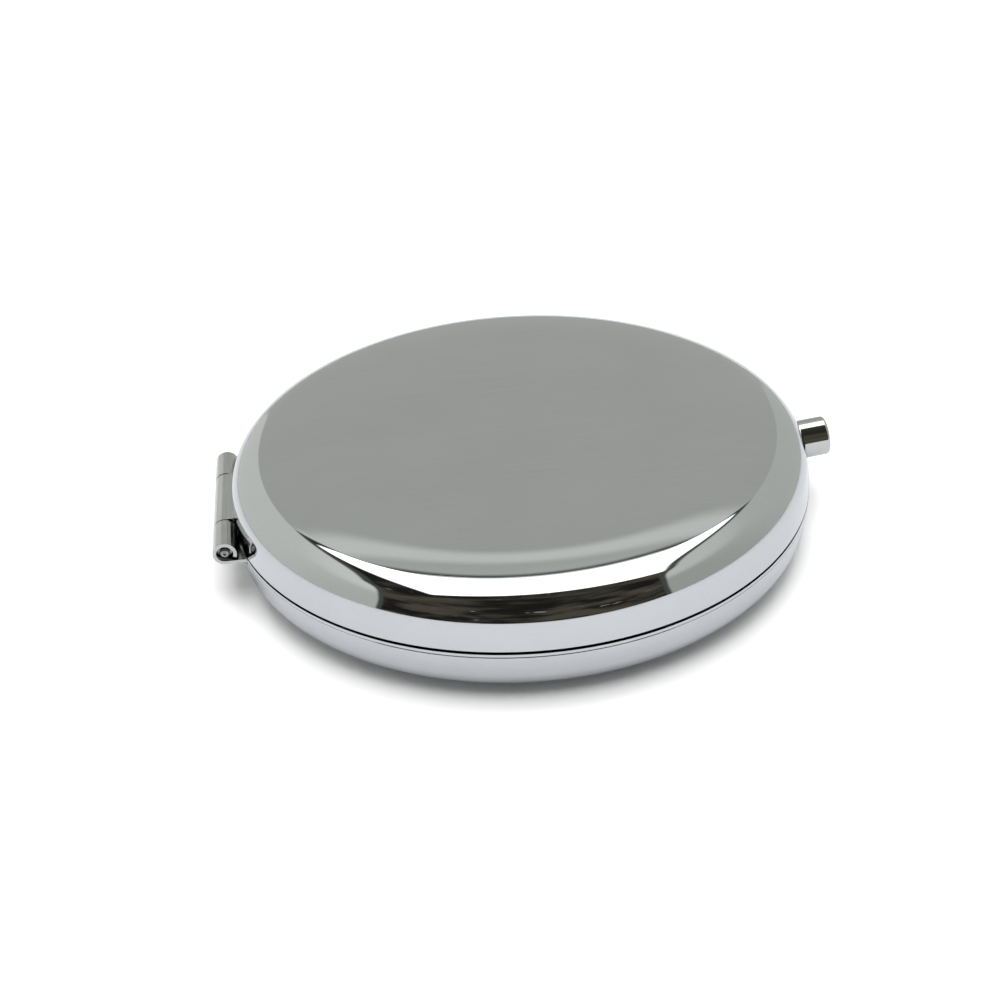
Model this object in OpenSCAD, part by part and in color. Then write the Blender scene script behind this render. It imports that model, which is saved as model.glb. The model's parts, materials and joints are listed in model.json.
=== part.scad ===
// Round push-button pill box with a mirror in its lid.
// Millimetres. +X points at the push button, -X at the hinge, +Z up.
// The origin is the centre of the flat face that the closed box rests on.

/* [Body] */
// Outside diameter of the closed box at its seam
body_d = 60; // [59:0.25:64]
// Height of the closed box
body_h = 12; // [11.8:0.1:12.4]
// Sheet thickness of the two shells
wall = 0.5; // [0.4:0.05:0.55]
// Open gap between the lid's rim and the base frame's flange
seam_gap = 0.3; // [0.25:0.05:0.35]
// Thickness of the frames' stamped sheet that shows at the seam
flange_t = 0.3; // [0.25:0.05:0.3]

/* [Shell outline] */
// Radius of the long shallow arc of the side wall
side_r = 15.5; // [14:0.5:18]
// Angle that the side arc turns through
side_deg = 10; // [9:0.5:11]
// Radius of the tight shoulder arc
shoulder_r = 3; // [2.8:0.1:3.2]
// Angle at which the shoulder hands over to the crown arc
shoulder_deg = 62; // [60:1:64]
// Radius of the crown arc
crown_r = 6.67; // [6.4:0.1:7]
// Angle at which the crown hands over to the shallow brow round the flat
crown_deg = 80; // [79:0.5:81]

/* [Hinge] */
// Length of the hinge barrel
hinge_len = 18; // [17.5:0.5:20]
// Outside diameter of the rolled knuckles
hinge_d = 2.4; // [2.3:0.05:2.5]
// Sheet thickness of the hinge leaves
leaf_t = 0.35; // [0.3:0.05:0.35]
// Distance of the pin's axis outside the seam's circle
hinge_out = 0.6; // [0.6:0.05:0.8]
// Height of the pin's axis over the middle of the seam gap
hinge_up = 0.4; // [0.35:0.05:0.5]
// Widest opening of the lid, where its heel meets the base frame
open_deg = 105; // [95:1:110]

/* [Button] */
// Diameter of the push button
button_d = 4.1; // [3.8:0.1:4.2]
// How far the button stands out past the seam's circle
button_out = 2.9; // [2.5:0.1:3.5]
// Height of the button's stem over the middle of the seam gap, at the wall
stem_up = 1.5; // [1.4:0.05:1.6]
// How far the button's head sits below its stem, square to the axis
button_drop = 0.6; // [0.3:0.05:0.6]
// Upward lean of the button's axis, square to the sloping wall
button_tilt = 5.5; // [4:0.5:6]
// Travel of the button
press_travel = 1.2; // [1:0.1:1.2]

/* [Inside] */
// Diameter of the mirror glass
mirror_d = 47.2; // [46:0.2:47.2]
// Thickness of the mirror glass
mirror_t = 1.55; // [1.3:0.05:1.55]
// Outside diameter of the pill tray
tray_d = 50.2; // [48:0.2:50.2]
// Wall and divider thickness of the pill tray
tray_wall = 0.8; // [0.7:0.05:1]
// Thickness of the pill tray's floor
tray_floor = 0.6; // [0.5:0.05:0.7]

/* [Hidden] */

$fn = 128;
eps = 0.01;
// How far a cutter runs past what it cuts
past = 1;

// Colours
chrome = [0.78, 0.79, 0.81];
steel = [0.62, 0.63, 0.66];
spring_steel = [0.5, 0.51, 0.54];
white_plastic = [0.93, 0.93, 0.9];
glass = [0.7, 0.8, 0.85];
foam = [0.25, 0.25, 0.27];

// Seam and shells
body_r = body_d / 2;
half_h = body_h / 2;
seam_z = half_h;
flange_top = seam_z - seam_gap / 2;
flange_under = flange_top - flange_t;
shell_groove = 0.05;
base_rim = seam_z - flange_under + shell_groove;
lid_rim = seam_gap / 2;
inner_floor = wall;

// Shell outline: centres of its four tangent arcs, measured from the seam's middle
side_c = [body_r - side_r, 0];
shoulder_c = side_c + (side_r - shoulder_r) * [cos(side_deg), sin(side_deg)];
crown_c = shoulder_c - (crown_r - shoulder_r) * [cos(shoulder_deg), sin(shoulder_deg)];
brow_r = (half_h - crown_c[1] - crown_r * sin(crown_deg)) / (1 - sin(crown_deg));
brow_c = crown_c - (brow_r - crown_r) * [cos(crown_deg), sin(crown_deg)];

// Hinge
hinge_r = hinge_d / 2;
hinge_x = -body_r - hinge_out;
hinge_z = seam_z + hinge_up;
hinge_half = hinge_len / 2;
knuckle_half = hinge_len / 4;
knuckle_gap = 0.15;
bore_r = hinge_r - leaf_t;
pin_r = bore_r - 0.05;
pin_end_r = 0.52;
pin_end_len = 0.7;
pin_end_gap = 0.05;
leaf_inner_x = hinge_x + 4.3;
leaf_edge = hinge_r + 1.2;
hinge_cut_half = hinge_half + 0.3;
hinge_cut_out_x = -body_r - past;
hinge_cut_in_x = -body_r + 5;
leaf_room = 0.2;
knuckle_play = 0.03;
shell_notch_top = 0.1;
flange_edge = hinge_r + 0.15;
heel_r = hinge_r + 0.25;
heel_w = 0.4;
heel_len = 6;
heel_room = 0.2;
heel_root_r = bore_r + 0.1;
// The heel's leading corner meets the flange's edge at this angle round the pin
heel_stop_deg = -acos(flange_edge / heel_r) - asin(heel_w / 2 / heel_r);
heel_slack_deg = 1.5;
heel_deg = heel_stop_deg - open_deg - heel_slack_deg;

// Frames
collar_t = 0.4;
collar_out = body_r - wall - 0.3;
base_collar_h = 1.7;
frame_in_r = tray_d / 2 + 0.2;
lid_plate_t = 0.4;
lid_plate_z = hinge_z + hinge_r;
lid_collar_z = seam_z + lid_rim + 0.2;
lid_collar_out = collar_out - 0.1;
bezel_lip = 0.7;
bezel_r = mirror_d / 2 - bezel_lip;
bead_r = 0.3;

// Mirror and tray
mirror_z = lid_plate_z + lid_plate_t + 0.05;
mirror_bevel = 0.3;
mirror_pad_r = brow_c[0] - 0.3;
mirror_pad_z = mirror_z + mirror_t;
mirror_pad_t = body_h - wall - mirror_pad_z;
tray_pad_t = 0.45;
tray_z = inner_floor + tray_pad_t;
tray_top = flange_top;
tray_divider_top = tray_top - 0.5;
tray_r = tray_d / 2;
tray_corner_r = 1.6;
tray_pad_r = brow_c[0] - 0.3;
tray_relief = 0.15;
tray_relief_h = 0.6;

// Button frame: origin where its stem's axis meets the wall, local +X out of the box
button_r = button_d / 2;
button_x = body_r - 0.1;
button_z = seam_z + stem_up;
button_in = 1.4;
button_neck_in = 0.3;
button_neck_r = button_r - button_drop - 0.05;
button_end = body_r + button_out - button_x;
button_round = 0.4;
button_play = 0.05;
button_room = 0.15;
button_cut_half = 3;
stem_r = 0.45;
stem_out = 1;
stem_in = 5.4;
plate_t = 0.4;
slide_half = 2.3;
slide_foot_w = -1.35;
slide_foot_in = 3.35;
slide_foot_t = 0.35;
plate_top_w = 0.9;
bracket_half = 2.85;
spring_wire = 0.2;
spring_turns = 5;
spring_slack = 0.5;
bracket_back = button_in + plate_t + press_travel + spring_turns * spring_wire + spring_slack;
bracket_foot_w = -0.95;
cheek_top_w = 0.4;
cheek_out = 1.2;
slot_half = bracket_half + 0.1;
slot_in_x = body_r - 5.2;

// Spring
spring_r = 0.78;
spring_gap = 0.03;

// Hook and catch
hook_x = body_r - 3.1;
hook_t = 0.35;
hook_half = 1.6;
hook_tip = 0.95;
hook_top = flange_under - 0.55;
hook_drop = 1.2;
hook_above = 0.15;
hook_tip_t = 0.2;
hook_room = 0.2;
catch_t = 0.4;
catch_edge_x = hook_x + hook_t + 0.35;
catch_half = 5.6;
catch_gap_half = 2.6;
catch_in_x = body_r - 3.8;
catch_out_r = collar_out - collar_t - 0.45;

// Rivets
rivet_r = 0.45;
rivet_head_r = 0.8;
rivet_head_t = 0.2;
hinge_rivet_x = -body_r + 2.7;
hinge_rivet_y = [-6.5, 0, 6.5];
catch_rivet_x = body_r - 2.6;
catch_rivet_y = 4.1;
latch_rivet_x = body_r - 3.2;
latch_rivet_y = 4.3;
ear_in_x = body_r - 4.7;
ear_out_x = body_r - 1.95;
ear_half = 5.4;

// ---------- shared shapes ----------

// Pie slice of a circle from a to b degrees
module slice(centre, r, a, b) {
    far = 2 * r;
    intersection() {
        translate(centre) circle(r = r);
        polygon([
            centre,
            centre + far * [cos(a), sin(a)],
            centre + far * [cos(b), sin(b)]
        ]);
    }
}

// Half section of a shell, from the seam's middle up to its flat face
module half_section(inset) {
    side_end = side_c + (side_r - inset) * [cos(side_deg), sin(side_deg)];
    crown_start = crown_c + (crown_r - inset) * [cos(shoulder_deg), sin(shoulder_deg)];
    brow_start = brow_c + (brow_r - inset) * [cos(crown_deg), sin(crown_deg)];
    intersection() {
        union() {
            slice(side_c, side_r - inset, 0, side_deg);
            slice(shoulder_c, shoulder_r - inset, side_deg, shoulder_deg);
            slice(crown_c, crown_r - inset, shoulder_deg, crown_deg);
            slice(brow_c, brow_r - inset, crown_deg, 90);
            polygon([
                [0, 0],
                [body_r - inset, 0],
                side_end,
                crown_start,
                brow_start,
                [brow_c[0], half_h - inset],
                [0, half_h - inset]
            ]);
        }
        square([body_r + past, half_h + past]);
    }
}

// Stamped shell, open side down, whose rim is rim over the seam's middle
module shell(rim) {
    rotate_extrude() difference() {
        half_section(0);
        half_section(wall);
        translate([0, -past]) square([body_r + past, past + rim]);
    }
}

// Cylinder along Y, centred
module y_rod(r, length) {
    rotate([90, 0, 0]) cylinder(r = r, h = length, center = true);
}

// Places its children at the hinge pin's axis
module at_hinge() {
    translate([hinge_x, 0, hinge_z]) children();
}

// Places its children in the button's leaning frame
module at_button() {
    translate([button_x, 0, button_z]) rotate([0, -button_tilt, 0]) children();
}

// Cylinder on the axis of the button's head, which runs through the wall
module head_rod(r) {
    at_button() translate([0, 0, -button_drop]) x_rod(r, -button_cut_half, button_cut_half);
}

// Cylinder along local X from a to b
module x_rod(r, a, b) {
    translate([a, 0, 0]) rotate([0, 90, 0]) cylinder(r = r, h = b - a);
}

// Box between two corners
module block(low, high) {
    translate(low) cube(high - low);
}

// Rivet set through sheets from z0 to z1, with a head at each end
module rivet(x, y, z0, z1) {
    translate([x, y, z0 - rivet_head_t]) cylinder(r = rivet_head_r, h = rivet_head_t, $fn = 48);
    translate([x, y, z0 - eps]) cylinder(r = rivet_r, h = z1 - z0 + 2 * eps, $fn = 48);
    translate([x, y, z1]) cylinder(r = rivet_head_r, h = rivet_head_t, $fn = 48);
}

module rivet_hole(x, y) {
    translate([x, y, 0]) cylinder(r = rivet_r, h = body_h, $fn = 48);
}

// Ring of rectangular section
module ring(r_in, r_out, z0, z1) {
    translate([0, 0, z0])
        rotate_extrude() translate([r_in, 0]) square([r_out - r_in, z1 - z0]);
}

// ---------- base ----------

module base_shell() {
    color(chrome) difference() {
        translate([0, 0, seam_z]) mirror([0, 0, 1]) shell(base_rim);
        // Slot in the rim for the hinge leaf
        block(
            [hinge_cut_out_x, -hinge_cut_half, hinge_z - hinge_r - leaf_room],
            [hinge_cut_in_x, hinge_cut_half, seam_z]
        );
        // Room for the lid's heel
        at_hinge() y_rod(heel_r + heel_room, 2 * knuckle_half);
        head_rod(button_r + button_room);
    }
}

module base_frame() {
    color(chrome) difference() {
        union() {
            ring(frame_in_r, body_r, flange_under, flange_top);
            ring(collar_out - collar_t, collar_out, flange_under - base_collar_h, flange_under + eps);
        }
        // Collar stops short of the hinge leaf
        block(
            [hinge_cut_out_x, -hinge_cut_half, flange_under - base_collar_h - past],
            [hinge_cut_in_x, hinge_cut_half, flange_under]
        );
        // Flange is cut back from the barrel
        block(
            [hinge_cut_out_x, -hinge_cut_half, flange_under - past],
            [hinge_x + flange_edge, hinge_cut_half, seam_z]
        );
        for (y = hinge_rivet_y) rivet_hole(hinge_rivet_x, y);
        // Window that the hook drops through
        block(
            [frame_in_r - past, -catch_gap_half - hook_room, flange_under - past],
            [catch_edge_x + hook_room, catch_gap_half + hook_room, seam_z]
        );
        for (s = [-1, 1]) rivet_hole(catch_rivet_x, s * catch_rivet_y);
        head_rod(button_r + button_room);
    }
}

module tray_pad() {
    color(foam) translate([0, 0, inner_floor]) cylinder(r = tray_pad_r, h = tray_pad_t);
}

// Half section of the tray's cup: straight wall, flat floor and a rounded inside corner
module tray_cup() {
    rotate_extrude() difference() {
        translate([0, tray_z]) square([tray_r, tray_top - tray_z]);
        translate([0, tray_z + tray_floor + tray_corner_r])
            square([tray_r - tray_wall, tray_top]);
        translate([0, tray_z + tray_floor])
            square([tray_r - tray_wall - tray_corner_r, tray_top]);
        translate([tray_r - tray_wall - tray_corner_r, tray_z + tray_floor + tray_corner_r])
            circle(r = tray_corner_r, $fn = 48);
    }
}

// Three compartments: one half and two quarters
module pill_tray() {
    color(white_plastic) {
        difference() {
            tray_cup();
            // Relief under the rim, so that the tray drops in past the frame
            ring(tray_r - tray_relief, tray_r + past, tray_z - past, tray_z + tray_relief_h);
        }
        block(
            [-tray_wall / 2, -tray_r + tray_wall / 2, tray_z + eps],
            [tray_wall / 2, tray_r - tray_wall / 2, tray_divider_top]
        );
        block(
            [-tray_r + tray_wall / 2, -tray_wall / 2, tray_z + eps],
            [0, tray_wall / 2, tray_divider_top]
        );
    }
}

module catch_plate() {
    color(steel) difference() {
        intersection() {
            translate([0, 0, flange_under - catch_t]) cylinder(r = catch_out_r, h = catch_t);
            block([catch_in_x, -catch_half, 0], [body_r, catch_half, body_h]);
        }
        block([catch_in_x - past, -catch_gap_half, 0], [catch_edge_x, catch_gap_half, body_h]);
        for (s = [-1, 1]) rivet_hole(catch_rivet_x, s * catch_rivet_y);
    }
}

module catch_rivets() {
    color(steel) for (s = [-1, 1])
        rivet(catch_rivet_x, s * catch_rivet_y, flange_under - catch_t, flange_top);
}

// ---------- hinge ----------

// Rolled knuckle between two stations along the pin
module knuckle(y0, y1) {
    at_hinge() translate([0, (y0 + y1) / 2, 0]) y_rod(hinge_r, y1 - y0);
}

module knuckle_bore() {
    at_hinge() y_rod(bore_r, hinge_len + past);
}

module hinge_leaf_base() {
    leaf_z = hinge_z - hinge_r;
    edge = knuckle_half + knuckle_gap / 2;
    color(chrome) difference() {
        union() {
            for (s = [-1, 1]) {
                knuckle(min(s * edge, s * hinge_half), max(s * edge, s * hinge_half));
                block(
                    [hinge_x, min(s * edge, s * hinge_half), leaf_z],
                    [leaf_inner_x, max(s * edge, s * hinge_half), leaf_z + leaf_t]
                );
            }
            block(
                [hinge_x + leaf_edge, -hinge_half, leaf_z],
                [leaf_inner_x, hinge_half, leaf_z + leaf_t]
            );
        }
        knuckle_bore();
        for (y = hinge_rivet_y) rivet_hole(hinge_rivet_x, y);
    }
}

module hinge_leaf_lid() {
    leaf_z = hinge_z + hinge_r - leaf_t;
    edge = knuckle_half - knuckle_gap / 2;
    color(chrome) difference() {
        union() {
            knuckle(-edge, edge);
            block([hinge_x, -edge, leaf_z], [leaf_inner_x, edge, leaf_z + leaf_t]);
            block(
                [hinge_x + leaf_edge, -hinge_half, leaf_z],
                [leaf_inner_x, hinge_half, leaf_z + leaf_t]
            );
            // Heel that meets the base frame when the lid is fully open
            at_hinge() rotate([0, -heel_deg, 0])
                block([heel_root_r, -heel_len / 2, -heel_w / 2], [heel_r, heel_len / 2, heel_w / 2]);
        }
        knuckle_bore();
        for (y = hinge_rivet_y) rivet_hole(hinge_rivet_x, y);
    }
}

module hinge_pin() {
    color(steel) at_hinge() {
        y_rod(pin_r, hinge_len - 2 * pin_end_len);
        y_rod(pin_end_r, hinge_len - 2 * pin_end_gap);
    }
}

module hinge_rivets_base() {
    color(steel) for (y = hinge_rivet_y)
        rivet(hinge_rivet_x, y, hinge_z - hinge_r, flange_top);
}

module hinge_rivets_lid() {
    color(steel) for (y = hinge_rivet_y)
        rivet(hinge_rivet_x, y, lid_plate_z - leaf_t, lid_plate_z + lid_plate_t);
}

// ---------- lid ----------

module lid_shell() {
    edge = knuckle_half + knuckle_gap / 2;
    color(chrome) difference() {
        translate([0, 0, seam_z]) shell(lid_rim);
        // Notch round the barrel, tight over the lid's own knuckle
        block([hinge_cut_out_x, -hinge_cut_half, 0], [hinge_cut_in_x, hinge_cut_half, hinge_z]);
        at_hinge() y_rod(hinge_r + knuckle_play, 2 * edge);
        block([hinge_cut_out_x, -edge, hinge_z], [hinge_cut_in_x, edge, lid_plate_z - leaf_t]);
        block(
            [hinge_x, -edge, lid_plate_z - leaf_t - knuckle_play],
            [hinge_cut_in_x, edge, lid_plate_z + knuckle_play]
        );
        for (s = [-1, 1])
            block(
                [hinge_cut_out_x, min(s * edge, s * hinge_cut_half), 0],
                [hinge_cut_in_x, max(s * edge, s * hinge_cut_half), lid_plate_z + shell_notch_top]
            );
        head_rod(button_r + button_play);
    }
}

module lid_frame() {
    color(chrome) difference() {
        union() {
            ring(bezel_r, lid_collar_out, lid_plate_z, lid_plate_z + lid_plate_t);
            ring(lid_collar_out - collar_t, lid_collar_out, lid_collar_z, lid_plate_z + eps);
            // Rounded bezel bead at the mirror's edge
            translate([0, 0, lid_plate_z]) rotate_extrude() difference() {
                translate([bezel_r + bead_r, 0]) circle(r = bead_r, $fn = 32);
                translate([0, eps]) square([body_r, past]);
            }
        }
        block([hinge_cut_out_x, -hinge_cut_half, 0], [hinge_cut_in_x, hinge_cut_half, lid_plate_z]);
        for (y = hinge_rivet_y) rivet_hole(hinge_rivet_x, y);
        // Slot for the latch
        block([slot_in_x, -slot_half, 0], [body_r, slot_half, body_h]);
        for (s = [-1, 1]) rivet_hole(latch_rivet_x, s * latch_rivet_y);
    }
}

module mirror_pad() {
    color(foam) translate([0, 0, mirror_pad_z])
        cylinder(r = mirror_pad_r, h = mirror_pad_t);
}

module mirror_glass() {
    edge_r = mirror_d / 2;
    color(glass) rotate_extrude() polygon([
        [0, mirror_z],
        [edge_r - mirror_bevel, mirror_z],
        [edge_r, mirror_z + mirror_bevel],
        [edge_r, mirror_z + mirror_t],
        [0, mirror_z + mirror_t]
    ]);
}

module latch_bracket() {
    color(steel) difference() {
        union() {
            at_button() {
                // Back wall that the spring pushes on and the stem slides through
                block(
                    [-bracket_back - plate_t, -bracket_half, bracket_foot_w],
                    [-bracket_back, bracket_half, plate_top_w]
                );
                for (s = [-1, 1])
                    block(
                        [
                            -bracket_back - plate_t,
                            min(s * bracket_half, s * (bracket_half - plate_t)),
                            bracket_foot_w
                        ],
                        [-cheek_out, max(s * bracket_half, s * (bracket_half - plate_t)), cheek_top_w]
                    );
            }
            for (s = [-1, 1])
                block(
                    [
                        ear_in_x,
                        min(s * (bracket_half - plate_t), s * ear_half),
                        lid_plate_z - plate_t
                    ],
                    [
                        ear_out_x,
                        max(s * (bracket_half - plate_t), s * ear_half),
                        lid_plate_z
                    ]
                );
        }
        at_button() x_rod(stem_r + button_play, -stem_in - past, 0);
        for (s = [-1, 1]) rivet_hole(latch_rivet_x, s * latch_rivet_y);
    }
}

module latch_rivets() {
    color(steel) for (s = [-1, 1])
        rivet(
            latch_rivet_x, s * latch_rivet_y,
            lid_plate_z - plate_t, lid_plate_z + lid_plate_t
        );
}

// ---------- push button ----------

// Head with a rounded rim, on a narrower neck that passes over the catch when pressed
module button() {
    body_end = button_end - button_round;
    flat_r = button_r - button_round;
    color(chrome) difference() {
        union() {
            at_button() translate([0, 0, -button_drop]) rotate([0, 90, 0]) rotate_extrude() {
                translate([0, -button_neck_in]) square([button_r, button_neck_in + body_end]);
                translate([0, -button_neck_in]) square([flat_r, button_neck_in + button_end]);
                translate([flat_r, body_end]) circle(r = button_round, $fn = 32);
            }
            at_button() x_rod(button_neck_r, -button_in, 0);
        }
        at_button() x_rod(stem_r, -button_in - past, stem_out);
    }
}

module button_stem() {
    color(steel) at_button() x_rod(stem_r, -stem_in, stem_out);
}

module latch_slide() {
    color(steel) difference() {
        union() {
            at_button() {
                // Upright plate behind the button
                block(
                    [-button_in - plate_t, -slide_half, slide_foot_w],
                    [-button_in, slide_half, plate_top_w]
                );
                // Foot that carries the hook
                block(
                    [-slide_foot_in, -slide_half, slide_foot_w],
                    [-button_in, slide_half, slide_foot_w + slide_foot_t]
                );
            }
            block(
                [hook_x, -hook_half, hook_top - hook_drop],
                [hook_x + hook_t, hook_half, flange_top + hook_above]
            );
            // Tooth: flat on top, ramped underneath to ride over the catch
            translate([0, hook_half, 0]) rotate([90, 0, 0]) linear_extrude(2 * hook_half)
                polygon([
                    [hook_x + hook_t / 2, hook_top],
                    [hook_x + hook_t + hook_tip, hook_top],
                    [hook_x + hook_t + hook_tip, hook_top - hook_tip_t],
                    [hook_x + hook_t, hook_top - hook_drop],
                    [hook_x + hook_t / 2, hook_top - hook_drop]
                ]);
        }
        at_button() x_rod(stem_r, -stem_in, 0);
    }
}

// Compression spring as a stack of closely spaced turns between the slide and the bracket
module button_spring() {
    length = bracket_back - button_in - plate_t - 2 * spring_gap;
    pitch = (length - spring_wire) / (spring_turns - 1);
    color(spring_steel) at_button()
        for (turn = [0 : spring_turns - 1])
            translate([-bracket_back + spring_gap + spring_wire / 2 + turn * pitch, 0, 0])
                rotate([0, 90, 0]) rotate_extrude()
                    translate([spring_r, 0]) circle(d = spring_wire, $fn = 24);
}

base_shell();
base_frame();
tray_pad();
pill_tray();
catch_plate();
catch_rivets();
hinge_leaf_base();
hinge_rivets_base();
hinge_pin();
lid_shell();
lid_frame();
mirror_pad();
mirror_glass();
hinge_leaf_lid();
hinge_rivets_lid();
latch_bracket();
latch_rivets();
button();
button_stem();
latch_slide();
button_spring();
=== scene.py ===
"""Round push-button pill box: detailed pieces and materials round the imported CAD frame.

Lengths in this script are millimetres in the frame's axes, and new_piece() turns them into metres.
"""

import json
import math

import bmesh
import bpy
import numpy as np
from mathutils import Matrix, Vector


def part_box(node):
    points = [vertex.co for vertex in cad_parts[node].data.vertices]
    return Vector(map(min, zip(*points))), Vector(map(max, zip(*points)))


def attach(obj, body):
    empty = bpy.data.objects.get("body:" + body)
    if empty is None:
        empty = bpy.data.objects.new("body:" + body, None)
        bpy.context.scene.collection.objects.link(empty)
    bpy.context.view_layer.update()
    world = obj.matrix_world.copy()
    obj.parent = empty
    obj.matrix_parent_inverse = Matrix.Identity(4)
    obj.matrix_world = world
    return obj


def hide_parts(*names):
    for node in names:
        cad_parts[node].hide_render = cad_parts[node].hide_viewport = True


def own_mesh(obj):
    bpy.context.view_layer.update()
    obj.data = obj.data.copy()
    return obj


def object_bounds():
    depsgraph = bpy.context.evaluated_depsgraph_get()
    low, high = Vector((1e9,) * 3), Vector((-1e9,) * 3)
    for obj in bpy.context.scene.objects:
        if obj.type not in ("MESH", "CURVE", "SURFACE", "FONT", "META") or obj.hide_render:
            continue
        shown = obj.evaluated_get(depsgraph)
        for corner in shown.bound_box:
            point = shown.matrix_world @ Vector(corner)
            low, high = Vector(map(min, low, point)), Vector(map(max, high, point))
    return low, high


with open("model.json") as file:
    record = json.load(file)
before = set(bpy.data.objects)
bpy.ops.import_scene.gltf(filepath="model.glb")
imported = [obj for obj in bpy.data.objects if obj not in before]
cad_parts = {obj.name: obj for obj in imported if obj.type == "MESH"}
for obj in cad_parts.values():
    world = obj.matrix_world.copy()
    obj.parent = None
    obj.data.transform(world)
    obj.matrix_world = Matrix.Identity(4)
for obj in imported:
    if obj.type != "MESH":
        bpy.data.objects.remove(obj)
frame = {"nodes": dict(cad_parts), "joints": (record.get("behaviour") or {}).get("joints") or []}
cad_low, cad_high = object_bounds()

# ---------- sizes, some read from the frame and the rest given ---

MM = 0.001


def box_mm(node):
    """Lowest and highest corner of a CAD node, in millimetres."""
    low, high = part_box(node)
    return low / MM, high / MM


def joint(name):
    """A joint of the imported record, by name."""
    return next(j for j in frame["joints"] if j["name"] == name)


# Shells: radius, heights of the seam's parts, and the outline's four tangent arcs
BODY_R = box_mm("base_frame")[1].y
BODY_H = cad_high.z / MM
SEAM_Z = BODY_H / 2
FLANGE_TOP = box_mm("base_frame")[1].z
FLANGE_T = 0.3
FLANGE_UNDER = FLANGE_TOP - FLANGE_T
BASE_RIM = SEAM_Z - box_mm("base_shell")[1].z
LID_RIM = box_mm("lid_shell")[0].z - SEAM_Z
WALL = 0.5
SIDE_R = 15.5
SIDE_DEG = 10
SHOULDER_R = 3
SHOULDER_DEG = 62
CROWN_R = 6.67
CROWN_DEG = 80

# Hinge
HINGE = Vector(joint("lid_hinge")["pos_m"]) / MM
HINGE_R = HINGE.x - box_mm("hinge_leaf_base")[0].x
HINGE_HALF = box_mm("hinge_leaf_base")[1].y
LEAF_T = 0.35
LEAF_IN = box_mm("hinge_leaf_base")[1].x - HINGE.x
BORE_R = HINGE_R - LEAF_T
PIN_R = BORE_R - 0.05
PIN_END_R = 0.52
PIN_END_LEN = 0.7
KNUCKLE_HALF = HINGE_HALF / 2
KNUCKLE_GAP = 0.15
LEAF_EDGE = HINGE_R + 1.2
NOTCH_HALF = HINGE_HALF + 0.3

# Push button: a leaning frame whose local X points out of the box
BUTTON_OUT = -Vector(joint("button_press")["axis"])
STEM_IN = 5.4
STEM_OUT = 1.0
STEM_MID = sum(box_mm("button_stem"), Vector()) / 2
BUTTON_AT = STEM_MID + BUTTON_OUT * (STEM_IN - STEM_OUT) / 2
BUTTON_R = box_mm("button")[1].y
BUTTON_DROP = 0.6
BUTTON_IN = 1.4
BUTTON_NECK_IN = 0.3
BUTTON_NECK_R = BUTTON_R - BUTTON_DROP - 0.05
BUTTON_END = BODY_R + 2.9 - BUTTON_AT.x
STEM_R = 0.45
BUTTON_CUT = (-3, 3)

# Spring, with its two ends along the button's axis
SPRING_WIRE_R = 0.1
SPRING_COIL_R = 0.78
SPRING_BACK = -4.47
SPRING_FRONT = -1.83

# Frames, mirror and tray
LID_PLATE_Z = HINGE.z + HINGE_R
LID_PLATE_T = 0.4
LID_COLLAR_OUT = box_mm("lid_frame")[1].y
BASE_COLLAR_OUT = BODY_R - WALL - 0.3
BASE_COLLAR_DROP = 1.7
COLLAR_T = 0.4
MIRROR_R = box_mm("mirror_glass")[1].x
MIRROR_LIP = 0.7
TRAY_R = box_mm("pill_tray")[1].x
TRAY_WALL = 0.8
TRAY_FLOOR = 0.6
TRAY_CORNER = 1.6

# Latch sheet, and the rivets' stations in X and Y
LATCH_SHEET_T = 0.4
RIVET_R = 0.8
HINGE_RIVETS = [(-BODY_R + 2.7, y) for y in (-6.5, 0, 6.5)]
CATCH_RIVETS = [(BODY_R - 2.6, y) for y in (-4.1, 4.1)]
LATCH_RIVETS = [(BODY_R - 3.2, y) for y in (-4.3, 4.3)]

# Mesh detail, and how far a cutter runs past what it cuts
SEGMENTS = 256
SMALL_SEGMENTS = 64
EDGE_EASE = 0.05
EPS = 0.01
PAST = 1.0

# Room cut in the shells and frames for the hinge, the button and the latch
HINGE_CUT_OUT = -BODY_R - PAST
HINGE_CUT_IN = -BODY_R + 5
KNUCKLE_FIT = 0.03
KNUCKLE_ROOM = 0.15
HEEL_ROOM = 0.45
BUTTON_FIT = 0.05
BUTTON_ROOM = 0.15
HOOK_X = BODY_R - 3.1
HOOK_GAP = 0.9
HOOK_WINDOW_HALF = 2.8
LATCH_WINDOW_IN = BODY_R - 5.2
LATCH_WINDOW_HALF = 2.95


# ---------- mesh helpers ----------


def new_piece(name, verts, faces, move=None):
    """Mesh object from millimetre points, moved by an optional matrix in millimetres."""
    if move is not None:
        verts = [move @ Vector(v) for v in verts]
    mesh = bpy.data.meshes.new(name)
    mesh.from_pydata([Vector(v) * MM for v in verts], [], faces)
    mesh.validate()
    piece = bpy.data.objects.new(name, mesh)
    bpy.context.scene.collection.objects.link(piece)
    return piece


def smooth(piece, degrees=35):
    """Smooth shading with sharp edges past an angle."""
    piece.data.shade_smooth()
    piece.data.set_sharp_from_angle(angle=math.radians(degrees))


def applied(piece):
    """Turns a piece's modifiers into its mesh."""
    depsgraph = bpy.context.evaluated_depsgraph_get()
    mesh = bpy.data.meshes.new_from_object(piece.evaluated_get(depsgraph))
    piece.modifiers.clear()
    piece.data = mesh


def combine(piece, others, operation):
    """Cuts other meshes from a piece, or unites them with it, and removes them."""
    for other in others:
        modifier = piece.modifiers.new(operation, "BOOLEAN")
        modifier.operation = operation
        modifier.solver = "EXACT"
        modifier.object = other
        applied(piece)
        bpy.data.objects.remove(other)


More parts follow.
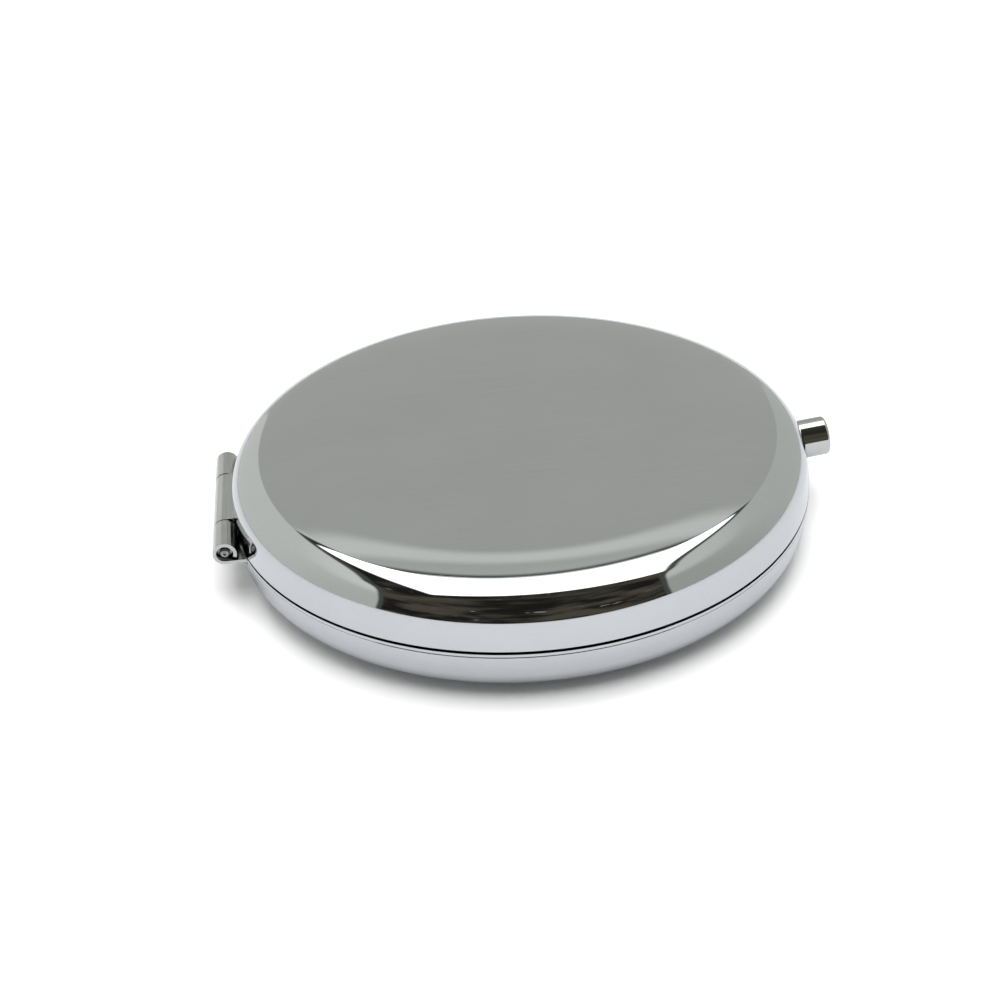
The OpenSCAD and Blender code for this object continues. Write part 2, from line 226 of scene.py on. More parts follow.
def weld(mesh):
    """Joins a mesh's doubled vertices, and its flat faces that are cut into triangles."""
    shape = bmesh.new()
    shape.from_mesh(mesh)
    bmesh.ops.remove_doubles(shape, verts=shape.verts, dist=0.002 * MM)
    bmesh.ops.dissolve_limit(
        shape, angle_limit=math.radians(1), verts=shape.verts, edges=shape.edges
    )
    shape.to_mesh(mesh)
    shape.free()


def bevel(piece):
    """Smooth shading with rounded sharp edges, whose shine doesn't bleed over the flats."""
    sharp = 40
    smooth(piece, sharp)
    modifier = piece.modifiers.new("bevel", "BEVEL")
    modifier.width = EDGE_EASE * MM
    modifier.segments = 2
    modifier.limit_method = "ANGLE"
    modifier.angle_limit = math.radians(sharp)
    modifier.harden_normals = True
    applied(piece)


def arc(centre, radius, start, end, steps):
    """Points on an arc between two angles in degrees, from its start to its end."""
    angles = np.radians(np.linspace(start, end, steps + 1))
    return [(centre[0] + radius * math.cos(a), centre[1] + radius * math.sin(a)) for a in angles]


def rounded(corners, radius, steps=4):
    """Closed outline whose corners are rounded, with one radius or a radius for each corner."""
    points = []
    count = len(corners)
    for i, corner in enumerate(corners):
        here = Vector(corner)
        back = (Vector(corners[i - 1]) - here).normalized()
        ahead = (Vector(corners[(i + 1) % count]) - here).normalized()
        size = radius[i] if isinstance(radius, (list, tuple)) else radius
        half = back.angle(ahead) / 2
        if size == 0 or half > math.radians(89):
            points.append(tuple(here))
            continue
        reach = size / math.tan(half)
        centre = here + (back + ahead).normalized() * (size / math.sin(half))
        first = here + back * reach - centre
        last = here + ahead * reach - centre
        for k in range(steps + 1):
            spoke = first.lerp(last, k / steps).normalized() * size
            points.append(tuple(centre + spoke))
    return points


def lathe(name, profile, segments=SEGMENTS, closed=True, move=None):
    """Turns (radius, height) points round Z. A point at radius 0 becomes one vertex."""
    rings = []
    verts = []
    for r, z in profile:
        if r < 1e-6:
            rings.append([len(verts)] * segments)
            verts.append((0, 0, z))
            continue
        rings.append(list(range(len(verts), len(verts) + segments)))
        for k in range(segments):
            turn = 2 * math.pi * k / segments
            verts.append((r * math.cos(turn), r * math.sin(turn), z))
    faces = []
    pairs = list(zip(rings, rings[1:]))
    if closed:
        pairs.append((rings[-1], rings[0]))
    for low, high in pairs:
        for k in range(segments):
            after = (k + 1) % segments
            corners = [low[k], low[after], high[after], high[k]]
            face = list(dict.fromkeys(corners))
            if len(face) > 2:
                faces.append(face)
    return new_piece(name, verts, faces, move)


def prism(name, outline, y0, y1):
    """Pushes a closed XZ outline along Y."""
    count = len(outline)
    verts = [(x, y, z) for y in (y0, y1) for x, z in outline]
    faces = [[i, (i + 1) % count, count + (i + 1) % count, count + i] for i in range(count)]
    faces.append(list(range(count))[::-1])
    faces.append(list(range(count, 2 * count)))
    return new_piece(name, verts, faces)


def block(low, high, move=None):
    """Box cutter between two corners."""
    xs, ys, zs = zip(low, high)
    verts = [(x, y, z) for z in zs for y in ys for x in xs]
    faces = [[0, 2, 3, 1], [4, 5, 7, 6], [0, 1, 5, 4], [2, 6, 7, 3], [0, 4, 6, 2], [1, 3, 7, 5]]
    return new_piece("cutter", verts, faces, move)


def rod(radius, low, high, move, segments=96):
    """Cylinder cutter along the local Z axis."""
    profile = [(0, low), (radius, low), (radius, high), (0, high)]
    return lathe("cutter", profile, segments, False, move)


def outward(piece):
    """Makes a closed mesh's faces point outwards."""
    shape = bmesh.new()
    shape.from_mesh(piece.data)
    bmesh.ops.recalc_face_normals(shape, faces=shape.faces)
    shape.to_mesh(piece.data)
    shape.free()
    return piece


def place(centre, along):
    """Matrix that puts a local Z axis along a direction, at a point."""
    return Matrix.Translation(centre) @ Vector(along).to_track_quat("Z", "Y").to_matrix().to_4x4()


ALONG_Y = place(Vector((HINGE.x, 0, HINGE.z)), (0, 1, 0))
BUTTON_UP = BUTTON_OUT.cross(Vector((0, 1, 0)))
BUTTON_AXIS = place(BUTTON_AT, BUTTON_OUT)
HEAD_AXIS = place(BUTTON_AT - BUTTON_UP * BUTTON_DROP, BUTTON_OUT)


# ---------- the shells' outline ----------


def polar(centre, radius, degrees):
    """Point at an angle round a centre."""
    return (
        centre[0] + radius * math.cos(math.radians(degrees)),
        centre[1] + radius * math.sin(math.radians(degrees)),
    )


SIDE_C = (BODY_R - SIDE_R, 0)
SHOULDER_C = polar(SIDE_C, SIDE_R - SHOULDER_R, SIDE_DEG)
CROWN_C = polar(SHOULDER_C, SHOULDER_R - CROWN_R, SHOULDER_DEG)
BROW_R = (SEAM_Z - CROWN_C[1] - CROWN_R * math.sin(math.radians(CROWN_DEG))) / (
    1 - math.sin(math.radians(CROWN_DEG))
)
BROW_C = polar(CROWN_C, CROWN_R - BROW_R, CROWN_DEG)
ARCS = [
    (SIDE_C, SIDE_R, 0, SIDE_DEG, 16),
    (SHOULDER_C, SHOULDER_R, SIDE_DEG, SHOULDER_DEG, 32),
    (CROWN_C, CROWN_R, SHOULDER_DEG, CROWN_DEG, 16),
    (BROW_C, BROW_R, CROWN_DEG, 90, 14),
]
LID_RIM_ROUND = 0.03
BASE_RIM_ROUND = 0.1


def meridian(inset, rim, ease):
    """Points from the rim up to the flat's edge, on the outer or the inner face of the sheet."""
    points = []
    for centre, radius, start, end, steps in ARCS:
        r = radius - inset
        if start == 0:
            start = math.degrees(math.asin((rim + ease) / r))
        points += arc(centre, r, start, end, steps)[1 if points else 0:]
    return points


def shell_profile(rim, ease):
    """Closed section of a shell, from the axis over the outside, round the rim and back inside.

    ease is the rounding of the rim's two corners.
    """
    outer = meridian(0, rim, ease)
    inner = meridian(WALL, rim, ease)
    out_r = outer[0][0] - ease
    in_r = inner[0][0] + ease
    lip = arc((out_r, rim + ease), ease, 0, -90, 5)
    lip += arc((in_r, rim + ease), ease, -90, -180, 5)
    flat = [(r, SEAM_Z) for r in (0, 1, 6, 12, 17)]
    under = [(r, SEAM_Z - WALL) for r in (17, 10, 1, 0)]
    return flat + outer[::-1] + lip[1:-1] + inner + under


def shell_normals(mesh, side):
    """Exact normals of the sheet's two faces, so that reflections run true past the cuts."""
    co = np.empty(len(mesh.vertices) * 3)
    mesh.vertices.foreach_get("co", co)
    co = co.reshape(-1, 3) / MM
    r = np.hypot(co[:, 0], co[:, 1])
    h = (co[:, 2] - SEAM_Z) * side
    radial = np.zeros_like(r)
    upward = np.zeros_like(r)
    found = np.zeros(len(r), bool)
    for centre, radius, start, end, _ in ARCS:
        dr = r - centre[0]
        dh = h - centre[1]
        angle = np.degrees(np.arctan2(dh, dr))
        reach = np.hypot(dr, dh)
        for inset, facing in ((0, 1), (WALL, -1)):
            near = abs(reach - (radius - inset)) < 0.004
            near &= (angle > start - 0.3) & (angle < end + 0.3)
            radial[near] = facing * (dr / reach)[near]
            upward[near] = facing * (dh / reach)[near]
            found |= near
    for level, facing in ((SEAM_Z, 1), (SEAM_Z - WALL, -1)):
        near = (abs(h - level) < 0.002) & (r < BROW_C[0] + 0.01)
        radial[near] = 0
        upward[near] = facing
        found |= near
    safe = np.maximum(r, 1e-6)
    normals = np.stack([radial * co[:, 0] / safe, radial * co[:, 1] / safe, upward * side], 1)
    return normals, found


def polish(piece, side):
    """Smooth shading with the outline's own normals wherever a face lies on it."""
    smooth(piece)
    mesh = piece.data
    normals, found = shell_normals(mesh, side)
    count = len(mesh.loops)
    corner = np.empty(count * 3, np.float32)
    mesh.corner_normals.foreach_get("vector", corner)
    corner = corner.reshape(-1, 3)
    vertex = np.empty(count, np.int32)
    mesh.loops.foreach_get("vertex_index", vertex)
    face = np.empty(len(mesh.polygons) * 3, np.float32)
    mesh.polygons.foreach_get("normal", face)
    face = face.reshape(-1, 3)
    totals = np.empty(len(mesh.polygons), np.int32)
    mesh.polygons.foreach_get("loop_total", totals)
    of_loop = np.repeat(np.arange(len(totals)), totals)
    exact = normals[vertex]
    agree = found[vertex] & (np.einsum("ij,ij->i", exact, face[of_loop]) > 0.8)
    corner[agree] = exact[agree]
    mesh.normals_split_custom_set([tuple(n) for n in corner])


# ---------- node trees ----------


class Nodes:
    """Short way to add nodes to a tree and link them."""

    def __init__(self, tree):
        self.tree = tree

    def add(self, kind, inputs=None, **settings):
        """Adds a node; an input is a value or another node's output socket."""
        node = self.tree.nodes.new(kind)
        for key, value in settings.items():
            setattr(node, key, value)
        for key, value in (inputs or {}).items():
            if isinstance(value, bpy.types.NodeSocket):
                self.link(value, node.inputs[key])
            else:
                node.inputs[key].default_value = value
        return node

    def link(self, value, socket):
        """Feeds an output socket to an input socket."""
        self.tree.links.new(value, socket)

    def math(self, operation, a, b=0.0):
        """Sum, product or other arithmetic of two values."""
        return self.add("ShaderNodeMath", {0: a, 1: b}, operation=operation).outputs[0]

    def remap(self, value, low, high, to_low=0.0, to_high=1.0):
        """Value between low and high, brought to another range with eased ends."""
        inputs = {0: value, 1: low, 2: high, 3: to_low, 4: to_high}
        node = self.add("ShaderNodeMapRange", inputs, interpolation_type="SMOOTHSTEP")
        return node.outputs[0]

    def mix(self, factor, a, b):
        """Blends two colours."""
        inputs = {0: factor, 6: a, 7: b}
        return self.add("ShaderNodeMix", inputs, data_type="RGBA").outputs[2]

    def noise(self, vector, scale, detail=3.0, rough=0.5):
        """Cloudy value from 0 to 1, with features about 1 / scale across."""
        inputs = {"Vector": vector, "Scale": scale, "Detail": detail, "Roughness": rough}
        return self.add("ShaderNodeTexNoise", inputs).outputs["Fac"]

    def stretched(self, vector, scale):
        """Coordinates scaled along each axis."""
        return self.add("ShaderNodeMapping", {"Vector": vector, "Scale": scale}).outputs[0]

    def cells(self, vector, scale):
        """Distance from the nearest of many scattered points."""
        inputs = {"Vector": vector, "Scale": scale, "Randomness": 1}
        return self.add("ShaderNodeTexVoronoi", inputs).outputs["Distance"]

    def relief(self, shader, height, strength, distance):
        """Gives a shader fine relief from a height value."""
        inputs = {"Height": height, "Strength": strength, "Distance": distance}
        self.link(self.add("ShaderNodeBump", inputs).outputs[0], shader.inputs["Normal"])


def new_material(name):
    """Material with a Principled shader: returns it, its nodes helper and object coordinates."""
    material = bpy.data.materials.new(name)
    material.use_nodes = True
    nodes = Nodes(material.node_tree)
    shader = material.node_tree.nodes["Principled BSDF"]
    where = nodes.add("ShaderNodeTexCoord").outputs["Object"]
    return material, nodes, shader, where


def metal(name, dark, light, rough, grain, bump, wear=0.0):
    """Metal with cloudy tone, uneven polish and fine drawing marks along a direction.

    rough holds the smoothest and the dullest polish. grain says how close the marks lie along each
    axis, bump how deep they are, and wear how much duller the specks of handling are.
    """
    material, nodes, shader, where = new_material(name)
    cloud = nodes.noise(where, 90, 4)
    marks = nodes.noise(nodes.stretched(where, grain), 1, 5, 0.6)
    smudge = nodes.noise(where, 260, 6, 0.65)
    tone = nodes.math("MULTIPLY", nodes.math("ADD", cloud, marks), 0.5)
    nodes.link(nodes.mix(nodes.remap(tone, 0.3, 0.7), dark, light), shader.inputs["Base Color"])
    shader.inputs["Metallic"].default_value = 1
    uneven = nodes.math("MULTIPLY", nodes.math("ADD", smudge, marks), 0.5)
    roughness = nodes.remap(uneven, 0.32, 0.72, rough[0], rough[1])
    if wear:
        speck = nodes.remap(nodes.cells(where, 420), 0.03, 0.09, wear, 0)
        roughness = nodes.math("ADD", roughness, speck)
    nodes.link(roughness, shader.inputs["Roughness"])
    nodes.relief(shader, marks, bump, 0.00002)
    return material


def plastic():
    """White moulded plastic with a fine satin texture and a little toning."""
    material, nodes, shader, where = new_material("tray_plastic")
    grain = nodes.noise(where, 9000, 2)
    toning = nodes.mix(nodes.noise(where, 140, 3), (0.7, 0.7, 0.67, 1), (0.78, 0.78, 0.755, 1))
    nodes.link(toning, shader.inputs["Base Color"])
    nodes.link(nodes.remap(grain, 0.3, 0.7, 0.28, 0.42), shader.inputs["Roughness"])
    shader.inputs["Subsurface Weight"].default_value = 0.08
    shader.inputs["Subsurface Scale"].default_value = 0.001
    nodes.relief(shader, grain, 0.15, 0.00003)
    return material


def foam():
    """Dark closed-cell foam with open cells at its cut edge."""
    material, nodes, shader, where = new_material("adhesive_foam")
    cell = nodes.cells(where, 4200)
    toning = nodes.mix(cell, (0.02, 0.02, 0.022, 1), (0.07, 0.07, 0.075, 1))
    nodes.link(toning, shader.inputs["Base Color"])
    nodes.link(nodes.remap(cell, 0, 0.6, 0.95, 0.75), shader.inputs["Roughness"])
    nodes.relief(shader, cell, 0.6, 0.0001)
    return material


def looking_glass():
    """Silvered glass: near-perfect polish with faint haze and dust."""
    material, nodes, shader, where = new_material("mirror_face")
    haze = nodes.noise(where, 120, 5, 0.6)
    toning = nodes.mix(haze, (0.86, 0.885, 0.88, 1), (0.9, 0.915, 0.915, 1))
    nodes.link(toning, shader.inputs["Base Color"])
    shader.inputs["Metallic"].default_value = 1
    dust = nodes.remap(nodes.cells(where, 600), 0.02, 0.05, 0.25, 0)
    haze_rough = nodes.remap(haze, 0.35, 0.7, 0.005, 0.03)
    nodes.link(nodes.math("ADD", haze_rough, dust), shader.inputs["Roughness"])
    return material


CHROME_DARK = (0.545, 0.555, 0.56, 1)
CHROME_LIGHT = (0.575, 0.585, 0.59, 1)
MATERIALS = {
    "shell_chrome": metal(
        "shell_chrome", CHROME_DARK, CHROME_LIGHT, (0.012, 0.05), (120, 4200, 4200), 0.004, 0.05
    ),
    "frame_chrome": metal(
        "frame_chrome", CHROME_DARK, CHROME_LIGHT, (0.05, 0.14), (900, 900, 9000), 0.08
    ),
    "hinge_chrome": metal(
        "hinge_chrome",
        (0.47, 0.475, 0.46, 1),
        (0.56, 0.565, 0.55, 1),
        (0.1, 0.24),
        (9000, 160, 9000),
        0.25,
    ),
    "button_chrome": metal(
        "button_chrome",
        (0.5, 0.505, 0.49, 1),
        (0.58, 0.585, 0.57, 1),
        (0.04, 0.12),
        (9000, 300, 300),
        0.12,
    ),
    "latch_steel": metal(
        "latch_steel", (0.4, 0.4, 0.4, 1), (0.5, 0.5, 0.495, 1), (0.22, 0.38), (250, 7000, 7000), 0.3
    ),
    "rivet_steel": metal(
        "rivet_steel", (0.4, 0.4, 0.4, 1), (0.52, 0.52, 0.52, 1), (0.2, 0.34), (2500, 2500, 2500), 0.25
    ),
    "pin_steel": metal(
        "pin_steel", (0.3, 0.3, 0.3, 1), (0.42, 0.42, 0.42, 1), (0.25, 0.4), (3000, 3000, 3000), 0.3
    ),
    "spring_wire": metal(
        "spring_wire", (0.3, 0.3, 0.31, 1), (0.42, 0.42, 0.43, 1), (0.22, 0.36), (5000, 5000, 5000), 0.2
    ),
    "tray_plastic": plastic(),
    "mirror_face": looking_glass(),
    "adhesive_foam": foam(),
}


def finished(piece, node, slot, body):
    """Gives a piece the material of its slot, ties it to its body, and hides the CAD node it stands in
    for.
    """
    piece.data.materials.clear()
    piece.data.materials.append(MATERIALS[slot])
    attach(piece, body)
    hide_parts(node)


# ---------- shells ----------


def base_shell():
    """Stamped base, with room for the hinge, the lid's heel and the button."""
    points = [(r, SEAM_Z - h) for r, h in shell_profile(BASE_RIM, BASE_RIM_ROUND)]
    piece = outward(lathe("base_shell_stamping", points, closed=False))
    hinge_slot = block(
        (HINGE_CUT_OUT, -NOTCH_HALF, HINGE.z - HINGE_R - 0.2),
        (HINGE_CUT_IN, NOTCH_HALF, SEAM_Z),
    )
    heel_room = rod(HINGE_R + HEEL_ROOM, -KNUCKLE_HALF, KNUCKLE_HALF, ALONG_Y)
    button_room = rod(BUTTON_R + BUTTON_ROOM, *BUTTON_CUT, HEAD_AXIS)
    combine(piece, [hinge_slot, heel_room, button_room], "DIFFERENCE")
    polish(piece, -1)
    finished(piece, "base_shell", "shell_chrome", "base")


def lid_shell():
    """Stamped lid, notched for the knuckles and the leaf, and drilled for the button."""
    points = [(r, SEAM_Z + h) for r, h in shell_profile(LID_RIM, LID_RIM_ROUND)]
    piece = outward(lathe("lid_shell_stamping", points, closed=False))
    edge = KNUCKLE_HALF + KNUCKLE_GAP / 2
    leaf_z = LID_PLATE_Z - LEAF_T
    leaf_low = (HINGE.x, -edge, leaf_z - KNUCKLE_FIT)
    leaf_high = (HINGE_CUT_IN, edge, LID_PLATE_Z + KNUCKLE_FIT)
    notch_top = LID_PLATE_Z + 0.1
    cutters = [
        block((HINGE_CUT_OUT, -NOTCH_HALF, 0), (HINGE_CUT_IN, NOTCH_HALF, HINGE.z)),
        rod(HINGE_R + KNUCKLE_FIT, -edge, edge, ALONG_Y),
        block((HINGE_CUT_OUT, -edge, HINGE.z - EPS), (HINGE_CUT_IN, edge, leaf_z)),
        block(leaf_low, leaf_high),
        block((HINGE_CUT_OUT, edge, 0), (HINGE_CUT_IN, NOTCH_HALF, notch_top)),
        block((HINGE_CUT_OUT, -NOTCH_HALF, 0), (HINGE_CUT_IN, -edge, notch_top)),
        rod(BUTTON_R + BUTTON_FIT, *BUTTON_CUT, HEAD_AXIS),
    ]
    combine(piece, cutters, "DIFFERENCE")
    polish(piece, 1)
    finished(piece, "lid_shell", "shell_chrome", "lid")


# ---------- frames ----------


def base_frame():
    """Ring with a flange that shows in the seam, and a collar down inside the base's wall."""
    in_r = TRAY_R + 0.2
    low = FLANGE_UNDER - BASE_COLLAR_DROP
    section = [
        (in_r, FLANGE_UNDER),
        (BASE_COLLAR_OUT - COLLAR_T, FLANGE_UNDER),
        (BASE_COLLAR_OUT - COLLAR_T, low),
        (BASE_COLLAR_OUT, low),
        (BASE_COLLAR_OUT, FLANGE_UNDER),
        (BODY_R, FLANGE_UNDER),
        (BODY_R, FLANGE_TOP),
        (in_r, FLANGE_TOP),
    ]
    rounds = [0.1, 0.1, 0.08, 0.08, 0.1, 0.02, 0.02, 0.1]
    piece = outward(lathe("base_frame_ring", rounded(section, rounds)))
    cutters = [
        block((HINGE_CUT_OUT, -NOTCH_HALF, low - PAST), (HINGE_CUT_IN, NOTCH_HALF, FLANGE_UNDER)),
        block(
            (HINGE_CUT_OUT, -NOTCH_HALF, FLANGE_UNDER - PAST),
            (HINGE.x + HINGE_R + KNUCKLE_ROOM, NOTCH_HALF, SEAM_Z),
        ),
        block(
            (in_r - PAST, -HOOK_WINDOW_HALF, FLANGE_UNDER - PAST),
            (HOOK_X + HOOK_GAP, HOOK_WINDOW_HALF, SEAM_Z),
        ),
        rod(BUTTON_R + BUTTON_ROOM, *BUTTON_CUT, HEAD_AXIS),
    ]
    combine(piece, cutters, "DIFFERENCE")
    smooth(piece)
    finished(piece, "base_frame", "frame_chrome", "base")


def lid_frame():
    """Plate in the lid, with a collar along its wall and a bead round the mirror."""
    in_r = MIRROR_R - MIRROR_LIP
    collar_low = box_mm("lid_frame")[0].z
    top = LID_PLATE_Z + LID_PLATE_T
    bead = 0.3
    section = [
        (LID_COLLAR_OUT, collar_low),
        (LID_COLLAR_OUT, top),
        (in_r, top),
        (in_r, LID_PLATE_Z - bead),
        (in_r + 2 * bead, LID_PLATE_Z - bead),
        (in_r + 2 * bead, LID_PLATE_Z),
        (LID_COLLAR_OUT - COLLAR_T, LID_PLATE_Z),
        (LID_COLLAR_OUT - COLLAR_T, collar_low),
    ]
    rounds = [0.1, 0.12, 0.08, 0.27, 0.27, 0.02, 0.15, 0.1]
    piece = outward(lathe("lid_frame_ring", rounded(section, rounds, 6)))
    cutters = [
        block((HINGE_CUT_OUT, -NOTCH_HALF, 0), (HINGE_CUT_IN, NOTCH_HALF, LID_PLATE_Z)),
        block((LATCH_WINDOW_IN, -LATCH_WINDOW_HALF, 0), (BODY_R, LATCH_WINDOW_HALF, BODY_H)),
    ]
    combine(piece, cutters, "DIFFERENCE")
    smooth(piece)
    finished(piece, "lid_frame", "frame_chrome", "lid")


# ---------- hinge ----------


def curl(side):
    """Section of a leaf rolled round the pin, closed, with the pin's axis at the origin.

    side is -1 for the base's leaf, which lies under the pin, and 1 for the lid's, over it.
    """
    tail = 25
    outer = arc((0, 0), HINGE_R, 90, 360 + tail, 60)
    inner = arc((0, 0), BORE_R, 360 + tail, 90, 60)
    loop = [(LEAF_EDGE + 0.05, HINGE_R)] + outer + inner + [(LEAF_EDGE + 0.05, BORE_R)]
    return [(HINGE.x + x, HINGE.z + z * side) for x, z in loop]


def leaf_strip(z0):
    """The flat of a leaf, for the whole length of the hinge."""
    low = (HINGE.x + LEAF_EDGE, -HINGE_HALF, z0)
    high = (HINGE.x + LEAF_IN, HINGE_HALF, z0 + LEAF_T)
    return block(low, high)


def hinge_leaf_base():
    """Base's leaf, with a knuckle rolled at each end."""
    edge = KNUCKLE_HALF + KNUCKLE_GAP / 2
    piece = outward(leaf_strip(HINGE.z - HINGE_R))
    piece.name = "hinge_leaf_base_rolled"
    knuckles = [
        outward(prism("knuckle", curl(-1), y0, y1))
        for y0, y1 in ((-HINGE_HALF, -edge), (edge, HINGE_HALF))
    ]
    combine(piece, knuckles, "UNION")
    bevel(piece)
    finished(piece, "hinge_leaf_base", "hinge_chrome", "base")


def hinge_leaf_lid():
    """Lid's leaf, with its middle knuckle and the heel that stops the lid."""
    edge = KNUCKLE_HALF - KNUCKLE_GAP / 2
    heel_r = HINGE_R + 0.25
    heel_w = 0.4
    heel_half = 3
    flange_edge = HINGE_R + KNUCKLE_ROOM
    stop = -math.acos(flange_edge / heel_r) - math.asin(heel_w / 2 / heel_r)
    open_angle = math.radians(joint("lid_hinge")["range_deg"][1] + 1.5)
    turn = Matrix.Translation(HINGE) @ Matrix.Rotation(open_angle - stop, 4, "Y")
    piece = outward(leaf_strip(LID_PLATE_Z - LEAF_T))
    piece.name = "hinge_leaf_lid_rolled"
    knuckle = outward(prism("knuckle", curl(1), -edge, edge))
    heel_low = (BORE_R + 0.1, -heel_half, -heel_w / 2)
    heel = outward(block(heel_low, (heel_r, heel_half, heel_w / 2), turn))
    combine(piece, [knuckle, heel], "UNION")
    bevel(piece)
    finished(piece, "hinge_leaf_lid", "hinge_chrome", "lid")


def hinge_pin():
    """Drawn pin whose turned-down ends are peened, with a small dimple in each."""
    half = HINGE_HALF - 0.05
    shank = HINGE_HALF - PIN_END_LEN
    end = [
        (PIN_R - 0.08, shank),
        (PIN_END_R, shank),
        (PIN_END_R, half - 0.2),
        (PIN_END_R - 0.04, half - 0.1),
        (PIN_END_R - 0.14, half - 0.02),
        (0.3, half),
        (0.2, half - 0.01),
        (0.14, half - 0.07),
        (0.06, half - 0.12),
        (0, half - 0.13),
    ]
    side = [(PIN_R, shank - 0.08)]
    low = [(r, -z) for r, z in end[::-1]] + [(r, -z) for r, z in side]
    piece = outward(lathe("hinge_pin_wire", low + side + end, SMALL_SEGMENTS, False, ALONG_Y))
    smooth(piece, 40)
    finished(piece, "hinge_pin", "pin_steel", "base")


# ---------- rivets ----------


def rivets(node, points, z0, z1, body):
    """Set rivets with low domed heads above and below the sheets they join."""
    head = 0.2
    shank = 0.45
    dome = [(RIVET_R * r, head * z) for r, z in arc((0, 0), 1, 20, 85, 5)]
    top = [(RIVET_R, 0), (RIVET_R, 0.05)] + dome + [(0, head)]
    profile = [(r, z0 - z) for r, z in top[::-1]] + [(shank, z0), (shank, z1)]
    profile += [(r, z1 + z) for r, z in top]
    parts = [
        outward(lathe("rivet", profile, 40, False, Matrix.Translation((x, y, 0)))) for x, y in points
    ]
    piece = parts[0]
    with bpy.context.temp_override(
        active_object=piece, selected_editable_objects=parts, selected_objects=parts
    ):
        bpy.ops.object.join()
    piece.name = node + "_set"
    smooth(piece, 50)
    finished(piece, node, "rivet_steel", body)


# ---------- latch ----------


def softened(node, slot, body):
    """Copy of a stamped CAD part with its edges eased, as tumbled sheet metal has them."""
    piece = bpy.data.objects.new(node + "_stamping", frame["nodes"][node].data.copy())
    bpy.context.scene.collection.objects.link(piece)
    if "custom_normal" in piece.data.attributes:
        piece.data.attributes.remove(piece.data.attributes["custom_normal"])
    weld(piece.data)
    bevel(piece)
    finished(piece, node, slot, body)


def button():
    """Turned button: eased rim, slightly crowned end and a narrow neck inside the wall."""
    ease = 0.4
    tip = BUTTON_END
    back = -BUTTON_NECK_IN
    head = [(0, back), (BUTTON_R - EDGE_EASE, back), (BUTTON_R, back + EDGE_EASE)]
    head += [(BUTTON_R, 0.4), (BUTTON_R, 1.4)]
    head += arc((BUTTON_R - ease, tip - ease - 0.04), ease, 0, 80, 10)
    head += [(BUTTON_R - ease - 0.3, tip - 0.02), (0.7, tip), (0, tip)]
    piece = outward(lathe("push_button_turned", head, 128, False, HEAD_AXIS))
    neck = [(0, -BUTTON_IN), (BUTTON_NECK_R - 0.06, -BUTTON_IN), (BUTTON_NECK_R, -BUTTON_IN + 0.06)]
    neck += [(BUTTON_NECK_R, 0), (0, 0)]
    combine(piece, [outward(lathe("neck", neck, 96, False, BUTTON_AXIS))], "UNION")
    combine(piece, [rod(STEM_R, -BUTTON_IN - PAST, STEM_OUT, BUTTON_AXIS)], "DIFFERENCE")
    weld(piece.data)
    smooth(piece)
    finished(piece, "button", "button_chrome", "push_button")


def button_stem():
    """Drawn wire pressed in the button, with its inner end chamfered."""
    profile = [(0, -STEM_IN), (STEM_R - 0.12, -STEM_IN), (STEM_R, -STEM_IN + 0.12)]
    profile += [(STEM_R, 0), (STEM_R, STEM_OUT), (0, STEM_OUT)]
    piece = outward(lathe("button_stem_wire", profile, SMALL_SEGMENTS, False, BUTTON_AXIS))
    smooth(piece, 50)
    finished(piece, "button_stem", "pin_steel", "push_button")


def button_spring():
    """Compression spring with closed end turns, round the stem."""
    turns = 5
    closed = 0.12
    start = SPRING_BACK + SPRING_WIRE_R
    end = SPRING_FRONT - SPRING_WIRE_R
    steps = turns * 36
    around = 12
    verts = []
    for i in range(steps + 1):
        share = i / steps
        turn = 2 * math.pi * turns * share
        climb = min(1.0, max(0.0, (share - closed) / (1 - 2 * closed)))
        outwards = Vector((math.cos(turn), math.sin(turn), 0))
        centre = outwards * SPRING_COIL_R + Vector((0, 0, start + (end - start) * climb))
        for across, up in arc((0, 0), SPRING_WIRE_R, 0, 360, around)[:-1]:
            verts.append(centre + outwards * across + Vector((0, 0, up)))
    faces = []
    for i in range(steps):
        for k in range(around):
            here = i * around
            after = (k + 1) % around
            faces.append([here + k, here + after, here + around + after, here + around + k])
    faces.append(list(range(around))[::-1])
    faces.append(list(range(steps * around, (steps + 1) * around)))
    piece = outward(new_piece("button_spring_coil", verts, faces, BUTTON_AXIS))
    smooth(piece, 60)
    finished(piece, "button_spring", "spring_wire", "lid")
    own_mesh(piece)


# ---------- mirror and tray ----------


def mirror_glass():
    """Mirror disc whose face is ground to a bevel all round."""
    low, high = box_mm("mirror_glass")
    grind = 0.3
    corners = [
        (0, low.z),
        (MIRROR_R - 1.4, low.z),
        (MIRROR_R, low.z + grind),
        (MIRROR_R, high.z),
        (0, high.z),
    ]
    section = rounded(corners, [0, 0.5, 0.05, 0.05, 0], 3)
    piece = outward(lathe("mirror_glass_bevelled", section, closed=False))
    smooth(piece, 20)
    finished(piece, "mirror_glass", "mirror_face", "lid")


def foam_disc(node, body):
    """Die-cut disc of double-sided foam whose edge is pinched in the middle."""
    low, high = box_mm(node)
    r = high.x
    thick = high.z - low.z
    pinch = min(0.15, thick * 0.3)
    edge = [(r - pinch * math.sin(math.pi * k / 8), low.z + thick * k / 8) for k in range(9)]
    rings = [(r * s, low.z) for s in (0, 0.35, 0.7, 0.95)]
    back = [(r * s, high.z) for s in (0.95, 0.7, 0.35, 0)]
    piece = outward(lathe(node + "_disc", rings + edge + back, 128, False))
    smooth(piece)
    finished(piece, node, "adhesive_foam", body)


